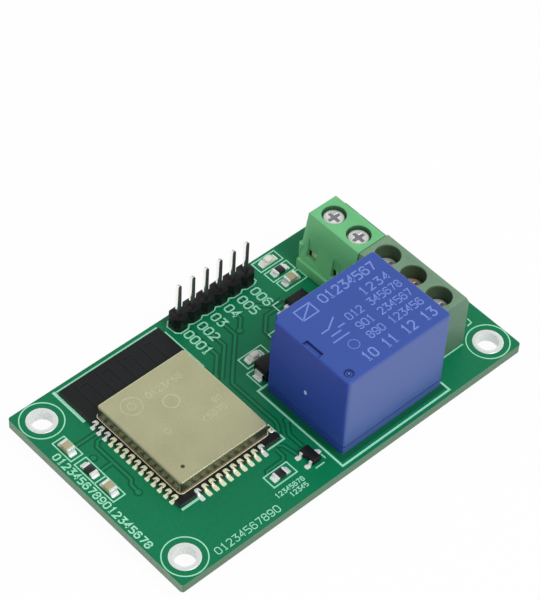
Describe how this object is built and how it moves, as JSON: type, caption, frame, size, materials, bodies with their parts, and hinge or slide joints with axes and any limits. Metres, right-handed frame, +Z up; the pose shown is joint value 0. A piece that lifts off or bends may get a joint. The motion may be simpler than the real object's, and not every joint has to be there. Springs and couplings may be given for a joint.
{
  "type": "wireless remote switch",
  "caption": "Bare green circuit board with a shielded radio module, a blue changeover relay, screw terminal blocks, a pin header and small surface mount parts.",
  "frame": {"origin": "centre of the four mounting holes, on the underside of the board", "axes": "+X along the board from the radio module to the terminal blocks, +Y across the board to the header, +Z up out of the component side"},
  "size_m": [0.0636, 0.0364, 0.018],
  "materials": {
    "board_laminate": "glass-epoxy laminate under green solder mask",
    "tinned_copper": "tinned copper, satin",
    "solder": "smooth solder",
    "module_laminate": "black laminate",
    "gold_solder": "gold-plated contact under solder",
    "shield_metal": "nickel-silver sheet, satin",
    "chip_plastic": "moulded black epoxy",
    "crystal_metal": "plated lid",
    "antenna_copper": "copper line under black mask",
    "header_plastic": "moulded black plastic",
    "pin_metal": "tinned brass",
    "relay_plastic": "smooth moulded blue plastic",
    "relay_iron": "plated soft iron",
    "bobbin_plastic": "moulded ivory plastic",
    "coil_copper": "enamelled copper winding",
    "spring_copper": "copper alloy strip",
    "contact_silver": "silver alloy rivet",
    "supply_plastic": "bright green moulding",
    "load_plastic": "sage green moulding",
    "screw_metal": "plated steel",
    "cage_metal": "plated brass clamp",
    "bar_metal": "tinned brass",
    "resistor_ceramic": "black glazed ceramic",
    "capacitor_ceramic": "tan ceramic",
    "led_body": "white laminate",
    "led_lens": "clear resin"
  },
  "bodies": {
    "board_assembly": {"circuit_board": "board_laminate", "mounting_hole_rims": "tinned_copper", "tail_solder_joints": "solder", "module_board": "module_laminate", "module_solder_joints": "gold_solder", "module_shield": "shield_metal", "module_processor": "chip_plastic", "module_memory": "chip_plastic", "module_crystal": "crystal_metal", "module_antenna": "antenna_copper", "header_body": "header_plastic", "header_pins": "pin_metal", "relay_cover": "relay_plastic", "relay_base": "relay_plastic", "relay_yoke": "relay_iron", "relay_core": "relay_iron", "relay_bobbin": "bobbin_plastic", "relay_coil": "coil_copper", "relay_coil_pins": "tinned_copper", "relay_common_pin": "tinned_copper", "relay_return_spring": "spring_copper", "relay_closed_contact": "tinned_copper", "relay_open_contact": "tinned_copper", "supply_terminal_housing": "supply_plastic", "supply_terminal_bars": "bar_metal", "load_terminal_housing": "load_plastic", "load_terminal_bars": "bar_metal", "resistors": "resistor_ceramic", "resistor_ends": "tinned_copper", "capacitors": "capacitor_ceramic", "capacitor_ends": "tinned_copper", "chip_solder_joints": "solder", "power_led": "led_body", "power_led_lens": "led_lens", "relay_led": "led_body", "relay_led_lens": "led_lens", "transistor": "chip_plastic", "transistor_leads": "tinned_copper", "diode": "chip_plastic", "diode_leads": "tinned_copper", "regulator": "chip_plastic", "regulator_leads": "tinned_copper"},
    "armature": {"relay_armature": "relay_iron", "relay_contact_leaf": "spring_copper", "relay_moving_contact": "contact_silver"},
    "supply_terminal_screw_1": {"supply_terminal_screw_1": "screw_metal"},
    "supply_terminal_cage_1": {"supply_terminal_cage_1": "cage_metal"},
    "supply_terminal_screw_2": {"supply_terminal_screw_2": "screw_metal"},
    "supply_terminal_cage_2": {"supply_terminal_cage_2": "cage_metal"},
    "load_terminal_screw_1": {"load_terminal_screw_1": "screw_metal"},
    "load_terminal_cage_1": {"load_terminal_cage_1": "cage_metal"},
    "load_terminal_screw_2": {"load_terminal_screw_2": "screw_metal"},
    "load_terminal_cage_2": {"load_terminal_cage_2": "cage_metal"},
    "load_terminal_screw_3": {"load_terminal_screw_3": "screw_metal"},
    "load_terminal_cage_3": {"load_terminal_cage_3": "cage_metal"}
  },
  "joints": [
    {"name": "armature_rock", "type": "hinge", "parent": "board_assembly", "child": "armature", "pos_m": [0.00169, -0.0084, 0.01199], "axis": [0, 1, 0], "range_deg": [0, 2.5], "stiffness_Nm_per_rad": 0.01, "springref_deg": -11.46, "deforming": ["relay_return_spring"]},
    {"name": "supply_screw_1_turn", "type": "hinge", "parent": "board_assembly", "child": "supply_terminal_screw_1", "pos_m": [0.02175, 0.00564, 0.0066], "axis": [0, 0, -1], "range_deg": [0, 1290]},
    {"name": "supply_cage_1_rise", "type": "slide", "parent": "board_assembly", "child": "supply_terminal_cage_1", "axis": [0, 0, 1], "range_m": [0, 0.0016]},
    {"name": "supply_screw_2_turn", "type": "hinge", "parent": "board_assembly", "child": "supply_terminal_screw_2", "pos_m": [0.02175, 0.01072, 0.0066], "axis": [0, 0, -1], "range_deg": [0, 1290]},
    {"name": "supply_cage_2_rise", "type": "slide", "parent": "board_assembly", "child": "supply_terminal_cage_2", "axis": [0, 0, 1], "range_m": [0, 0.0016]},
    {"name": "load_screw_1_turn", "type": "hinge", "parent": "board_assembly", "child": "load_terminal_screw_1", "pos_m": [0.0222, -0.00998, 0.0066], "axis": [0, 0, -1], "range_deg": [0, 810]},
    {"name": "load_cage_1_rise", "type": "slide", "parent": "board_assembly", "child": "load_terminal_cage_1", "axis": [0, 0, 1], "range_m": [0, 0.001]},
    {"name": "load_screw_2_turn", "type": "hinge", "parent": "board_assembly", "child": "load_terminal_screw_2", "pos_m": [0.0222, -0.0049, 0.0066], "axis": [0, 0, -1], "range_deg": [0, 810]},
    {"name": "load_cage_2_rise", "type": "slide", "parent": "board_assembly", "child": "load_terminal_cage_2", "axis": [0, 0, 1], "range_m": [0, 0.001]},
    {"name": "load_screw_3_turn", "type": "hinge", "parent": "board_assembly", "child": "load_terminal_screw_3", "pos_m": [0.0222, 0.00018, 0.0066], "axis": [0, 0, -1], "range_deg": [0, 810]},
    {"name": "load_cage_3_rise", "type": "slide", "parent": "board_assembly", "child": "load_terminal_cage_3", "axis": [0, 0, 1], "range_m": [0, 0.001]}
  ],
  "couplings": [
    {"joint": "supply_screw_1_turn", "follows": "supply_cage_1_rise", "rad_per_m": 13963},
    {"joint": "supply_screw_2_turn", "follows": "supply_cage_2_rise", "rad_per_m": 13963},
    {"joint": "load_screw_1_turn", "follows": "load_cage_1_rise", "rad_per_m": 13963},
    {"joint": "load_screw_2_turn", "follows": "load_cage_2_rise", "rad_per_m": 13963},
    {"joint": "load_screw_3_turn", "follows": "load_cage_3_rise", "rad_per_m": 13963}
  ]
}
